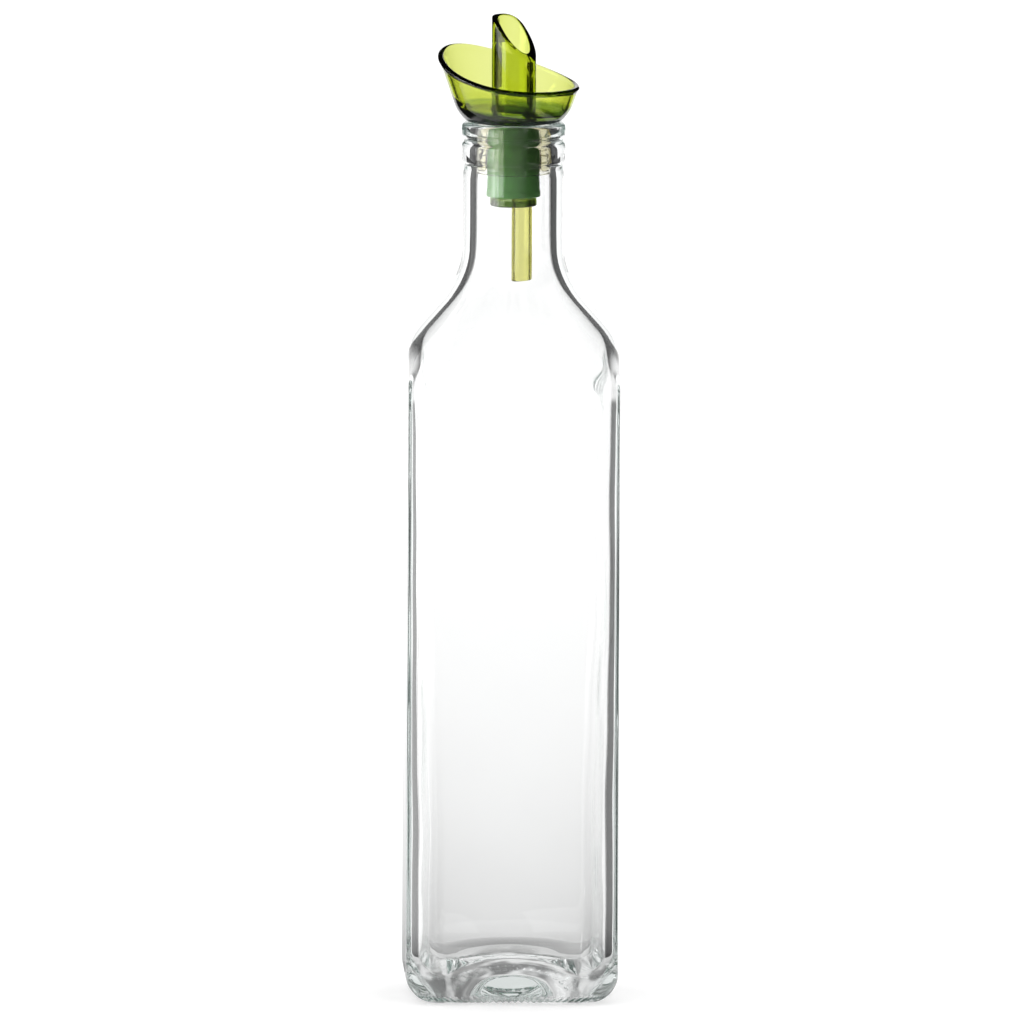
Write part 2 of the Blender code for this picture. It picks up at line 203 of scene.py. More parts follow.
class Finish:
    """One material, whose nodes are added by name and joined as they are made."""

    def __init__(self, name):
        self.name = name
        self.material = bpy.data.materials.new(name)
        self.material.use_nodes = True
        self.tree = self.material.node_tree
        self.tree.nodes.clear()
        self.output = self.tree.nodes.new("ShaderNodeOutputMaterial")

    def node(self, kind, settings=None, values=None, output=0):
        """Adds a node: its settings first, then a value or a link for each socket named."""
        made = self.tree.nodes.new(kind)
        for key, setting in (settings or {}).items():
            setattr(made, key, setting)
        for key, value in (values or {}).items():
            self.feed(made.inputs[key], value)
        return Value(self, made.outputs[output])

    def feed(self, socket, value):
        if isinstance(value, Value):
            self.tree.links.new(value.socket, socket)
        else:
            socket.default_value = value

    def maths(self, operation, first, second):
        return self.node("ShaderNodeMath", {"operation": operation}, {0: first, 1: second})

    def place(self, stretch=(1.0, 1.0, 1.0)):
        """Position on the piece in metres, stretched along each axis."""
        where = self.node("ShaderNodeTexCoord", output="Object")
        return self.node("ShaderNodeMapping", values={"Vector": where, "Scale": stretch})

    def noise(self, scale, detail=2.0, stretch=(1.0, 1.0, 1.0)):
        values = {"Vector": self.place(stretch), "Scale": scale, "Detail": detail}
        return self.node("ShaderNodeTexNoise", values=values)

    def height(self):
        """Height on the piece in metres."""
        return self.node("ShaderNodeSeparateXYZ", values={"Vector": self.place()}, output="Z")

    def blend(self, share, first, second):
        """A colour between two others, by number because the node's sockets share their names."""
        values = {0: share, 6: first, 7: second}
        return self.node("ShaderNodeMix", {"data_type": "RGBA"}, values, output=2)

    def bump(self, height, distance, strength=1.0):
        values = {"Height": height, "Distance": distance, "Strength": strength}
        return self.node("ShaderNodeBump", values=values)

    def card_place(self, axis):
        """How far across (X) or up (Y) a flat card a point lies, from 0 to 1."""
        where = self.node("ShaderNodeTexCoord", output="Generated")
        return self.node("ShaderNodeSeparateXYZ", values={"Vector": where}, output=axis)

    def rise(self, value, start, end):
        """A smooth step from 0 to 1."""
        values = {"Value": value, "From Min": start, "From Max": end}
        return self.node("ShaderNodeMapRange", {"interpolation_type": "SMOOTHSTEP"}, values)

    def glow(self, brightness):
        return self.node("ShaderNodeEmission", values={"Color": WHITE, "Strength": brightness})

    def between(self, share, first, second):
        """A surface between two others."""
        return self.node("ShaderNodeMixShader", values={0: share, 1: first, 2: second})

    def show(self, shader):
        self.tree.links.new(shader.socket, self.output.inputs["Surface"])
        return self

    def surface(self, values):
        return self.show(self.node("ShaderNodeBsdfPrincipled", values=values))

    def depth_tint(self, colour, density):
        """Absorption inside a clear body, so that its thick places look deeper in colour."""
        inside = self.node("ShaderNodeVolumeAbsorption", values={"Color": colour, "Density": density})
        self.tree.links.new(inside.socket, self.output.inputs["Volume"])
        return self


def glass_finish():
    """Soda-lime glass: faintly rippled, and a cool green where it is thick."""
    finish = Finish("clear_glass")
    ripple = finish.noise(scale=38.0, detail=1.0, stretch=(1.0, 1.0, 0.35))
    return finish.surface(
        {
            "Base Color": WHITE,
            "Roughness": finish.noise(scale=60.0) * 0.012,
            "IOR": 1.5,
            "Transmission Weight": 1.0,
            "Normal": finish.bump(ripple, distance=0.0002, strength=0.5),
        }
    ).depth_tint((0.66, 0.80, 0.76, 1), density=6.0)


def lime_finish():
    """Clear lime plastic, gone nearly black where light runs along its walls, with painted shade
    darkening its colour below the bowl's floor.
    """
    finish = Finish("lime_plastic")
    flow = finish.noise(scale=160.0, detail=2.0, stretch=(1.0, 1.0, 0.4))
    # painted shade: below the bowl's floor the colour is darkened, as where little light reaches
    above_painted_shade = finish.rise(finish.height(), 0.2654, 0.2668)
    return finish.surface(
        {
            "Base Color": finish.blend(above_painted_shade, (0.32, 0.43, 0.31, 1), WHITE),
            "Roughness": finish.noise(scale=300.0) * 0.04 + 0.01,
            "IOR": 1.49,
            "Transmission Weight": 1.0,
            "Normal": finish.bump(flow, distance=0.0001, strength=0.4),
        }
    ).depth_tint((0.845, 0.885, 0.22, 1), density=950.0)


def plug_finish():
    """Cloudy green plastic with a satin gloss and a fine drawn grain."""
    finish = Finish("green_plug")
    cloud = finish.noise(scale=220.0, detail=3.0)
    grain = finish.noise(scale=900.0, detail=3.0, stretch=(1.0, 1.0, 0.15))
    return finish.surface(
        {
            "Base Color": finish.blend(cloud, (0.13, 0.40, 0.08, 1), (0.18, 0.50, 0.12, 1)),
            "Roughness": grain * 0.12 + 0.10,
            "IOR": 1.8,
            "Normal": finish.bump(grain, distance=0.00005, strength=0.5),
        }
    )


def seal_finish():
    """Soft cream plastic, clear enough to show the plug through it."""
    finish = Finish("cream_seal")
    cloud = finish.noise(scale=260.0, detail=3.0)
    return finish.surface(
        {
            "Base Color": WHITE,
            "Roughness": cloud * 0.02 + 0.01,
            "IOR": 1.03,
            "Transmission Weight": 1.0,
            "Normal": finish.bump(cloud, distance=0.0001, strength=0.3),
        }
    ).depth_tint((0.60, 0.56, 0.25, 1), density=90.0)


def tube_finish():
    """Yellow-green tubing that light soaks through, with streaks along it."""
    finish = Finish("straw_tube")
    streak = finish.noise(scale=500.0, detail=3.0, stretch=(1.0, 1.0, 0.08))
    return finish.surface(
        {
            "Base Color": WHITE,
            "Roughness": streak * 0.15 + 0.1,
            "IOR": 1.45,
            "Transmission Weight": 1.0,
            "Normal": finish.bump(streak, distance=0.00008, strength=0.4),
        }
    ).depth_tint((0.85, 0.84, 0.30, 1), density=1150.0)


def floor_finish():
    finish = Finish("pale_floor")
    return finish.surface(
        {
            "Base Color": (0.5, 0.5, 0.5, 1),
            "Roughness": finish.noise(scale=30.0) * 0.1 + 0.7,
            "Specular IOR Level": 0.1,
            "Emission Color": WHITE,
            "Emission Strength": 0.55,
        }
    )


def card_finish(name, brightness):
    finish = Finish(name)
    return finish.show(finish.glow(brightness))


def side_card_finish(name, brightness):
    """A dark card, blackest beside the neck and the foot, with a light band beside the shoulder."""
    finish = Finish(name)
    up = finish.card_place("Y")
    body = finish.rise(up, 0.17, 0.26) * (1 - finish.rise(up, 0.80, 0.85))
    shoulder = finish.rise(up, 0.745, 0.765) * (1 - finish.rise(up, 0.815, 0.85))
    plain = finish.between(body, finish.glow(0.04), finish.glow(brightness))
    return finish.show(finish.between(shoulder, plain, finish.glow(0.9)))


def foot_shade_finish():
    """Painted light and shade under the foot, seen only through the glass: light and dark streaks, and a
    plain grey round it that fades to white.
    """
    finish = Finish("foot_shade_card")
    across, deep = finish.card_place("X") * 2 - 1, finish.card_place("Y") * 2 - 1
    spread = across * across + deep * deep
    # painted light and shade: glowing streaks and grey that stand in for the shaded floor under the base
    streak = finish.rise(finish.noise(scale=110.0, detail=2.0, stretch=(1.0, 0.5, 1.0)), 0.42, 0.60)
    under_foot = finish.between(streak, finish.glow(0.20), finish.glow(0.80))
    outside = finish.between(finish.rise(spread, 0.4, 1.1), finish.glow(0.62), finish.glow(0.95))
    return finish.show(finish.between(finish.rise(spread, 0.2, 0.4), under_foot, outside))


def back_card_finish():
    """A card that shades the white behind it, most of all towards the floor and the sides."""
    finish = Finish("back_card")
    up, across = finish.card_place("Y"), finish.card_place("X") * 2 - 1
    fade = 1 - up
    shade = fade * fade * fade * (across * across * 0.48 + 0.50)
    clear = finish.node("ShaderNodeBsdfTransparent", values={"Color": WHITE})
    return finish.show(finish.between(shade, clear, finish.glow(0.0)))


def angles_round(count, crowding=0.0):
    """Angles round a ring, crowded towards the corners of a square where asked."""
    even = np.arange(count) * TURN / count
    return even + crowding / 4 * np.sin(4 * even)


def ease(share):
    share = np.clip(share, 0.0, 1.0)
    return share * share * (3 - 2 * share)


def soft_min(a, b, blend):
    """The smaller of two lengths, with the crease between them rounded over the blend."""
    near = np.maximum(blend - np.abs(a - b), 0.0) / blend
    return np.minimum(a, b) - near * near * blend / 4


def square_reach(angle, half, corner):
    """How far a rounded square reaches from its centre in each direction."""
    cosine, sine = np.abs(np.cos(angle)), np.abs(np.sin(angle))
    along, across = np.maximum(cosine, sine), np.minimum(cosine, sine)
    centre = half - corner
    lean = centre * (across + along)
    round_part = lean + np.sqrt(np.maximum(lean * lean - 2 * centre * centre + corner * corner, 0))
    return np.where(half * across <= centre * along, half / along, round_part)


def ring(angle, reach, height):
    """One ring of points; reach and height are numbers or arrays along the angles."""
    return np.stack(
        [reach * np.cos(angle), reach * np.sin(angle), height + 0 * angle],
        axis=-1,
    )


def arc(centre, radius, start, end, steps):
    """Points (reach, height) along an arc, with angles in degrees from the outward side."""
    turn = np.radians(np.linspace(start, end, steps + 1))
    return list(zip(centre[0] + radius * np.cos(turn), centre[1] + radius * np.sin(turn)))


def skin(name, rings, poles=None):
    """A smooth closed body through rings of points, capped at two poles or joined end to end."""
    rings = np.array(rings)
    count, sides = rings.shape[:2]
    points = rings.reshape(-1, 3)
    here = np.arange(sides)
    after = (here + 1) % sides
    spans = count if poles is None else count - 1
    faces = []
    for row in range(spans):
        low, high = row * sides, (row + 1) % count * sides
        faces += np.stack([low + here, low + after, high + after, high + here], 1).tolist()
    if poles is not None:
        tips = (len(points), len(points) + 1)
        points = np.concatenate([points, np.array(poles)])
        last = (count - 1) * sides
        faces += [(tips[0], int(b), int(a)) for a, b in zip(here, after)]
        faces += [(tips[1], int(last + a), int(last + b)) for a, b in zip(here, after)]
    data = bpy.data.meshes.new(name)
    data.from_pydata(points.tolist(), [], faces)
    shape = bmesh.new()
    shape.from_mesh(data)
    bmesh.ops.recalc_face_normals(shape, faces=shape.faces)
    shape.to_mesh(data)
    shape.free()
    data.shade_smooth()
    piece = bpy.data.objects.new(name, data)
    bpy.context.scene.collection.objects.link(piece)
    return piece


def dress(piece, finish, node):
    """Gives a new piece its finish, and lets it stand for its CAD node on the one body."""
    piece.data.materials.append(finish.material)
    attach(piece, "root")
    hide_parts(node)


def uneven(angle, height):
    """Slow thick and thin places of the blown inner wall."""
    waves = [
        share * np.sin(TURN * height / length + turns * angle + start)
        for share, length, turns, start in UNEVEN_WAVES
    ]
    return UNEVENNESS * sum(waves)


def thickening(height):
    """How far the wall has thickened at a height: 0 in the upper body, 1 near the foot."""
    return ease((THICKENS_FROM - height) / (THICKENS_FROM - THICKENS_TO))


def inner_half(height):
    return BODY_WIDTH / 2 - (WALL_HIGH + (WALL_LOW - WALL_HIGH) * thickening(height))


def inner_corner(height):
    return INNER_CORNER_HIGH + (INNER_CORNER_LOW - INNER_CORNER_HIGH) * thickening(height)


def dome_reach(height, offset):
    """The turned shoulder's reach at a height, moved inwards by the thickness of the glass."""
    radius = FLARE_RADIUS + offset
    end_height = FLARE_TOP - radius * math.sin(SHOULDER_ANGLE)
    centre = NECK_RADIUS + FLARE_RADIUS
    if height >= FLARE_TOP:
        return centre - radius
    if height > end_height:
        return centre - math.sqrt(radius**2 - (FLARE_TOP - height) ** 2)
    end_reach = centre - radius * math.cos(SHOULDER_ANGLE)
    return end_reach + (end_height - height) * math.tan(SHOULDER_ANGLE)


def outer_shoulder(angle):
    """The turned shoulder, cut into an arch by each flat side."""
    rings = []
    for height in np.linspace(FLARE_TOP, SHOULDER_END, OUTER_SHOULDER_RINGS):
        square = square_reach(angle, BODY_WIDTH / 2, BODY_CORNER)
        reach = soft_min(square, dome_reach(height, 0.0), ARCH_BLEND)
        rings.append(ring(angle, reach, height))
    return rings


def inner_walls(angle):
    """The inside of the body and shoulder, from the heel up to the neck."""
    start = INNER_FLOOR_LOW + INNER_HEEL_RADIUS
    heights = list(np.linspace(start, SHOULDER_END, WALL_RINGS)[:-1])
    heights += list(np.linspace(SHOULDER_END, FLARE_TOP, INNER_SHOULDER_RINGS))
    rings = []
    for height in heights:
        square = square_reach(angle, inner_half(height), inner_corner(height))
        fade = ease((height - start) / UNEVEN_FADE) * ease((FLARE_TOP - height) / UNEVEN_FADE)
        square = square + uneven(angle, height) * fade
        cap = dome_reach(height, NECK_WALL)
        rings.append(ring(angle, soft_min(square, cap, ARCH_BLEND), height))
    return rings


def outer_heel(angle):
    """Round the heel to the beaded bearing ring, and up into the hollow under the base."""
    half = BODY_WIDTH / 2
    step = np.arange(len(angle)) * BEADS / len(angle) % 1.0
    gap = np.cos(math.pi * step) ** 2
    rings = []
    for turn in HEEL_TURNS:
        drop = math.radians(turn)
        reach = half - HEEL_RADIUS * (1 - math.cos(drop))
        lift = BEAD_DEPTH * gap * ease((turn - BEADS_FROM) / BEADS_FADE)
        height = HEEL_RADIUS * (1 - math.sin(drop)) + lift * math.sin(drop)
        corner = BODY_CORNER - (half - reach)
        rings.append(ring(angle, square_reach(angle, reach, corner) - lift * math.cos(drop), height))
    outer, inner = half - HEEL_RADIUS, half - HEEL_RADIUS - BEARING_WIDTH
    for share in (0.0, 0.25, 0.5, 0.75, 1.0):
        reach = outer + (inner - outer) * share
        lift = BEAD_DEPTH * gap * ease((1 - share) * 3)
        rings.append(ring(angle, square_reach(angle, reach, 0.2 * reach), lift))
    for share in HOLLOW_SHARES:
        height = PUSH_UP_HEIGHT * math.cos(share * math.pi / 2) ** 0.8
        corner = inner * share * (1 - 0.75 * share**2)
        rings.append(ring(angle, square_reach(angle, inner * share, corner), height))
    return rings


def inner_floor(angle):
    """Inside of the heel and the domed floor, from the middle outwards."""
    start = INNER_FLOOR_LOW + INNER_HEEL_RADIUS
    half, corner = inner_half(start), inner_corner(start)
    trough = half - INNER_HEEL_RADIUS
    spread = square_reach(angle, half, corner) / half
    side_lift = FLOOR_LIFT * (1 - FLOOR_FALL / 2 * (spread**2 - 1))
    rings = []
    for share in FLOOR_SHARES:
        rise = (1 + math.cos(share * math.pi)) / 2
        height = INNER_FLOOR_LOW + (INNER_FLOOR_HIGH - INNER_FLOOR_LOW) * rise
        roundness = 1 - (1 - corner / half) * share
        reach = trough * share
        height = height + side_lift * share**2
        rings.append(ring(angle, square_reach(angle, reach, reach * roundness), height))
    for reach, height in arc((trough, start), INNER_HEEL_RADIUS, -90, 0, 13)[:-1]:
        above = (height - INNER_FLOOR_LOW) / INNER_HEEL_RADIUS
        height = height + side_lift * (1 - above**2)
        rings.append(ring(angle, square_reach(angle, reach, reach * corner / half), height))
    return rings


def bulge(top, bottom, root, rise, steps):
    """A raised band round the neck: flat-topped, with both of its shoulders rounded."""
    place = np.sin(np.linspace(-1, 1, steps + 1) * math.pi / 2)
    height = (top + bottom) / 2 - place * (top - bottom) / 2
    return list(zip(root + rise * np.sqrt(1 - place**4), height))


def finish_outline():
    """Outline of the mouth and neck: bore, lip, the two raised bands and the neck below."""
    lip_centre = (RING_ROOT + RING_RISE - LIP_RADIUS, GLASS_TOP - LIP_RADIUS)
    heights = np.linspace(FLARE_TOP + BORE_START, GLASS_TOP, 6)[:-1]
    inside = [(BORE_RADIUS, height) for height in heights]
    inside += arc((BORE_RADIUS + BORE_EDGE, GLASS_TOP - BORE_EDGE), BORE_EDGE, 180, 90, 5)
    lip = arc(lip_centre, LIP_RADIUS, 90, 20, 6)
    upper = bulge(*UPPER_RING, RING_ROOT, RING_RISE, 10)[5:]
    lower = bulge(*LOWER_RING, RING_ROOT, RING_RISE, 12)
    foot, neck_start = LOWER_RING[1] - RING_FOOT_DROP, LOWER_RING[1] - NECK_START_DROP
    below = [(RING_ROOT, foot)]
    for share in np.linspace(0.15, 1, 6):
        reach = RING_ROOT + (NECK_RADIUS - RING_ROOT) * ease(share)
        below.append((reach, foot + (neck_start - foot) * share))
    below += [(NECK_RADIUS, height) for height in np.linspace(neck_start, FLARE_TOP, 5)[1:-1]]
    return inside + lip + upper + lower + below


def make_glass():
    """The bottle as one skin: up the inside, over the lip and down the outside."""
    angle = angles_round(BOTTLE_SIDES, BODY_CROWDING)
    rings = inner_floor(angle) + inner_walls(angle)
    rings += [ring(angle, reach, height) for reach, height in finish_outline()]
    rings += outer_shoulder(angle)
    square = square_reach(angle, BODY_WIDTH / 2, BODY_CORNER)
    heights = np.linspace(SHOULDER_END, HEEL_RADIUS, 4)[1:-1]
    rings += [ring(angle, square, height) for height in heights]
    rings += outer_heel(angle)
    poles = ((0, 0, INNER_FLOOR_HIGH), (0, 0, PUSH_UP_HEIGHT))
    return skin("glass_bottle", rings, poles)


def bowl_reach(height):
    """Outside of the drip bowl: a cone that tucks in towards its foot."""
    reach = BOWL_CONE_RADIUS + BOWL_CONE_SLOPE * (height - BOWL_CONE_HEIGHT)
    tuck = np.maximum(0.0, (BOWL_CONE_HEIGHT - height) / (BOWL_CONE_HEIGHT - BOWL_FOOT_HEIGHT))
    straight = BOWL_CONE_RADIUS + BOWL_CONE_SLOPE * (BOWL_FOOT_HEIGHT - BOWL_CONE_HEIGHT)
    return reach - (straight - BOWL_FOOT_RADIUS) * tuck**2


def rim_height(angle):
    """Height of the bowl's slanted rim, lowest on the pouring side and curling up at both ends."""
    height = BOWL_RIM_HEIGHT + 0 * angle
    for _ in range(6):
        along = bowl_reach(height) * np.cos(angle)
        height = BOWL_RIM_HEIGHT - BOWL_RIM_SLOPE * along + BOWL_RIM_CURVE * along**2
    return height


def floor_height(reach, angle):
    return BOWL_FLOOR_HEIGHT - BOWL_FLOOR_SLOPE * reach * np.cos(angle)


def cut_height(reach, angle):
    """Height of the spout's slant cut, with its tip rounded over."""
    slant = SPOUT_CUT_HEIGHT - SPOUT_CUT_SLOPE * reach * np.cos(angle)
    return soft_min(slant, SPOUT_TOP + 0 * angle, SPOUT_TIP_BLEND)


def spout_rings(angle):
    """Up the spout's bore, over its cut edge and down its outside to the bowl's floor."""
    edge, low = SPOUT_EDGE, BORE_FLOOR + BORE_FLOOR_EDGE
    corner = arc((SPOUT_BORE - BORE_FLOOR_EDGE, low), BORE_FLOOR_EDGE, -90, 0, 5)
    rings = [ring(angle, reach, height) for reach, height in corner]
    half_wall = (SPOUT_RADIUS - SPOUT_BORE) / 2
    for share in np.linspace(0.1, 1, 8):
        top = cut_height(SPOUT_BORE, angle) - edge
        rings.append(ring(angle, SPOUT_BORE, low + (top - low) * share))
    for turn in np.radians(np.linspace(160, 90, 4)):
        reach = SPOUT_BORE + edge + edge * math.cos(turn)
        rings.append(ring(angle, reach, cut_height(reach, angle) - edge + edge * math.sin(turn)))
    rings.append(ring(angle, SPOUT_BORE + half_wall, cut_height(SPOUT_BORE + half_wall, angle)))
    for turn in np.radians(np.linspace(90, 20, 4)):
        reach = SPOUT_RADIUS - edge + edge * math.cos(turn)
        rings.append(ring(angle, reach, cut_height(reach, angle) - edge + edge * math.sin(turn)))
    wall_foot = SPOUT_RADIUS + SPOUT_FILLET
    bottom = floor_height(wall_foot, angle) + SPOUT_FILLET
    top = cut_height(SPOUT_RADIUS, angle) - edge
    for share in np.linspace(0, 0.94, 12):
        rings.append(ring(angle, SPOUT_RADIUS, top + (bottom - top) * share))
    for turn in np.radians(np.linspace(0, 90, 8)):
        reach = wall_foot - SPOUT_FILLET * math.cos(turn)
        rings.append(ring(angle, reach, floor_height(reach, angle) + SPOUT_FILLET * (1 - math.sin(turn))))
    return rings


def bowl_rings(angle):
    """Across the slanted floor, up the bowl's inside, over its rim and down to the foot."""
    half_wall = BOWL_WALL / 2
    rings = []
    floor_start = SPOUT_RADIUS + SPOUT_FILLET
    top_reach = bowl_reach(BOWL_FLOOR_HEIGHT + BOWL_FILLET) - BOWL_WALL
    for share in (0.35, 0.7):
        reach = floor_start + (top_reach - BOWL_FILLET - floor_start) * share
        rings.append(ring(angle, reach, floor_height(reach, angle)))
    for turn in np.radians(np.linspace(0, 80, 8)):
        reach = top_reach - BOWL_FILLET * (1 - math.sin(turn))
        rings.append(ring(angle, reach, floor_height(reach, angle) + BOWL_FILLET * (1 - math.cos(turn))))
    low = floor_height(BOWL_CONE_RADIUS - BOWL_WALL, angle) + BOWL_FILLET
    rim = rim_height(angle)
    for share in np.linspace(0.08, 0.96, 10):
        height = low + (rim - half_wall - low) * share
        rings.append(ring(angle, bowl_reach(height) - BOWL_WALL, height))
    for turn in np.radians(np.linspace(180, 0, 13)):
        reach = bowl_reach(rim) - half_wall + half_wall * math.cos(turn)
        rings.append(ring(angle, reach, rim - half_wall + half_wall * math.sin(turn)))
    foot = BOWL_FOOT_HEIGHT + BOWL_FOOT_EDGE + 0.0001
    for share in np.linspace(0.94, 0, 24):
        height = foot + (rim - half_wall - foot) * share**1.4
        rings.append(ring(angle, bowl_reach(height), height))
    centre = (BOWL_FOOT_RADIUS - BOWL_FOOT_EDGE, BOWL_FOOT_HEIGHT + BOWL_FOOT_EDGE)
    for reach, height in arc(centre, BOWL_FOOT_EDGE, 0, -90, 4):
        rings.append(ring(angle, reach, height))
    return rings


def stem_outline():
    """The underside of the foot, the stem with its retaining bead, and its hollow end."""
    bead, bottom = STEM_BEAD_RADIUS - STEM_BEAD_EDGE, STEM_BOTTOM
    lip, cavity = STEM_END_EDGE, STEM_CAVITY_EDGE
    outline = [(STEM_RADIUS, BOWL_FOOT_HEIGHT), (STEM_RADIUS, PLUG_BOTTOM - STEM_BEAD_EDGE)]
    outline += arc((bead, PLUG_BOTTOM - STEM_BEAD_DROP), STEM_BEAD_EDGE, 80, 0, 4)
    outline += arc((bead, bottom + STEM_BEAD_EDGE), STEM_BEAD_EDGE, 0, -90, 5)
    outline += arc((STEM_CAVITY_RADIUS + lip, bottom + lip), lip, -90, -180, 3)
    outline += arc((STEM_CAVITY_RADIUS - cavity, STEM_CAVITY_TOP - cavity), cavity, 0, 90, 4)
    return outline


def rod(name, radius, bottom, top, offset, direction):
    """An upright rod, set off from the middle, that shapes the pourer and is then removed."""
    shape = bmesh.new()
    bmesh.ops.create_cone(
        shape, cap_ends=True, segments=ROD_SIDES, radius1=radius, radius2=radius, depth=top - bottom
    )
    middle = (offset * math.cos(direction), offset * math.sin(direction), (bottom + top) / 2)
    bmesh.ops.translate(shape, verts=shape.verts, vec=middle)
    data = bpy.data.meshes.new(name)
    shape.to_mesh(data)
    shape.free()
    made = bpy.data.objects.new(name, data)
    bpy.context.scene.collection.objects.link(made)
    return made


def combine(piece, other, operation):
    """Joins or cuts at once, and removes the helper."""
    step = piece.modifiers.new(other.name, "BOOLEAN")
    step.operation = operation
    step.object = other
    graph = bpy.context.evaluated_depsgraph_get()
    result = bpy.data.meshes.new_from_object(piece.evaluated_get(graph))
    piece.modifiers.clear()
    piece.data = result
    bpy.data.objects.remove(other)


def make_pourer():
    """Bowl, spout and stem in one clear moulding, with its pour hole and air hole."""
    angle = angles_round(POURER_SIDES)
    rings = spout_rings(angle) + bowl_rings(angle)
    rings += [ring(angle, reach, height) for reach, height in stem_outline()]
    pourer = skin("lime_pourer", rings, ((0, 0, BORE_FLOOR), (0, 0, STEM_CAVITY_TOP)))
    pourer.data.transform(Matrix.Rotation(POUR_TURN, 4, "Z"))
    above, below = BORE_FLOOR + CUT_OVERLAP, STEM_CAVITY_TOP - CUT_OVERLAP
    root = STEM_CAVITY_TOP + 2 * CUT_OVERLAP
    spigot = rod("spigot", SPIGOT_RADIUS, SPIGOT_BOTTOM, root, TUBE_OFFSET, TUBE_TURN)
    combine(pourer, spigot, "UNION")
    start = SPIGOT_BOTTOM - CUT_OVERLAP
    air = rod("air_hole", AIR_HOLE_RADIUS, start, above, TUBE_OFFSET, TUBE_TURN)
    combine(pourer, air, "DIFFERENCE")
    away = TUBE_TURN + math.pi
    oil = rod("pour_hole", POUR_HOLE_RADIUS, below, above, POUR_HOLE_OFFSET, away)
    combine(pourer, oil, "DIFFERENCE")
    pourer.data.set_sharp_from_angle(angle=math.radians(50))
    return pourer


def turned(name, outline, sides):
    """A ring-shaped body of revolution from a closed outline of (reach, height) points."""
    angle = angles_round(sides)
    return skin(name, [ring(angle, reach, height) for reach, height in outline])


def make_plug():
    """The green sleeve, a little wider at its foot."""
    edge, step = SLEEVE_EDGE, PLUG_BOTTOM + PLUG_STEP_TOP
    heights = np.linspace(PLUG_BOTTOM + BORE_INSET, GLASS_TOP - BORE_INSET, 6)
    outline = [(PLUG_BORE, height) for height in heights]
    outline += arc((PLUG_RADIUS - edge, GLASS_TOP - edge), edge, 90, 0, 4)
    heights = np.linspace(GLASS_TOP - 0.001, step + BORE_INSET, 5)
    outline += [(PLUG_RADIUS, height) for height in heights]
    for share in np.linspace(0, 1, 5):
        reach = PLUG_RADIUS + (PLUG_FOOT_RADIUS - PLUG_RADIUS) * ease(share)
        outline.append((reach, step - PLUG_STEP_DEPTH * share))
    outline += arc((PLUG_FOOT_RADIUS - edge, PLUG_BOTTOM + edge), edge, 0, -90, 4)
    return turned("plug_sleeve", outline, SLEEVE_SIDES)


def make_seal():
    """The cream ring: a sleeve that fills the bore, with two thin lips below it."""
    top, foot = SEAL_TOP_EDGE, SLEEVE_EDGE
    heights = np.linspace(SEAL_BOTTOM + SEAL_FOOT_HEIGHT, GLASS_TOP - BORE_INSET, 5)
    outline = [(SEAL_BORE, height) for height in heights]
    outline += arc((SEAL_RADIUS - top, GLASS_TOP - top), top, 90, 0, 4)
    for lip in (2, 1):
        root = SEAL_BOTTOM + lip * SEAL_LIP_PITCH
        outline.append((SEAL_RADIUS, root + 0.0004))
        outline += arc((SEAL_RADIUS, root - 0.0002), SEAL_GROOVE_DEPTH * 0.75, 90, 270, 8)
    outline += arc((SEAL_RADIUS - foot, SEAL_BOTTOM + foot), foot, 0, -90, 3)
    outline.append((SEAL_BORE + SEAL_FOOT_WIDTH, SEAL_BOTTOM + foot))
    return turned("seal_sleeve", outline, SLEEVE_SIDES)


def make_tube():
    """The air tube, cut a little askew at its lower end."""
    angle = angles_round(TUBE_SIDES)
    slant = TUBE_CUT_SLOPE * np.cos(angle)
    bead = (TUBE_RADIUS - TUBE_BORE) / 2
    middle = TUBE_BORE + bead
    rings = []
    for share in np.linspace(0, 1, 10):
        low = TUBE_BOTTOM + bead + slant * TUBE_BORE
        rings.append(ring(angle, TUBE_BORE, low + (TUBE_TOP - low) * share))
    for share in np.linspace(1, 0, 10):
        low = TUBE_BOTTOM + bead + slant * TUBE_RADIUS
        rings.append(ring(angle, TUBE_RADIUS, low + (TUBE_TOP - low) * share))
    for turn in np.radians(np.linspace(-20, -160, 7)):
        reach = middle + bead * math.cos(turn)
        rings.append(ring(angle, reach, TUBE_BOTTOM + bead + bead * math.sin(turn) + slant * reach))
    tube = skin("air_tube", rings)
    centre = (TUBE_OFFSET * math.cos(TUBE_TURN), TUBE_OFFSET * math.sin(TUBE_TURN), 0)
    tube.data.transform(Matrix.Translation(centre) @ Matrix.Rotation(TUBE_TURN, 4, "Z"))
    return tube


def plane(name, corners, finish):
    """A flat part of the stage."""
    data = bpy.data.meshes.new(name)
    data.from_pydata(corners, [], [(0, 1, 2, 3)])
    made = bpy.data.objects.new(name, data)
    bpy.context.scene.collection.objects.link(made)
    data.materials.append(finish.material)
    made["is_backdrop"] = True
    return made


def square_on_floor(reach, height):
    """Corners of a level square round the bottle."""
    ends = (-reach, reach)
    return [(ends[a], ends[b], height) for a, b in CORNERS]


def make_floor():
    plane("floor", square_on_floor(FLOOR_REACH, -FLOOR_DROP), floor_finish())


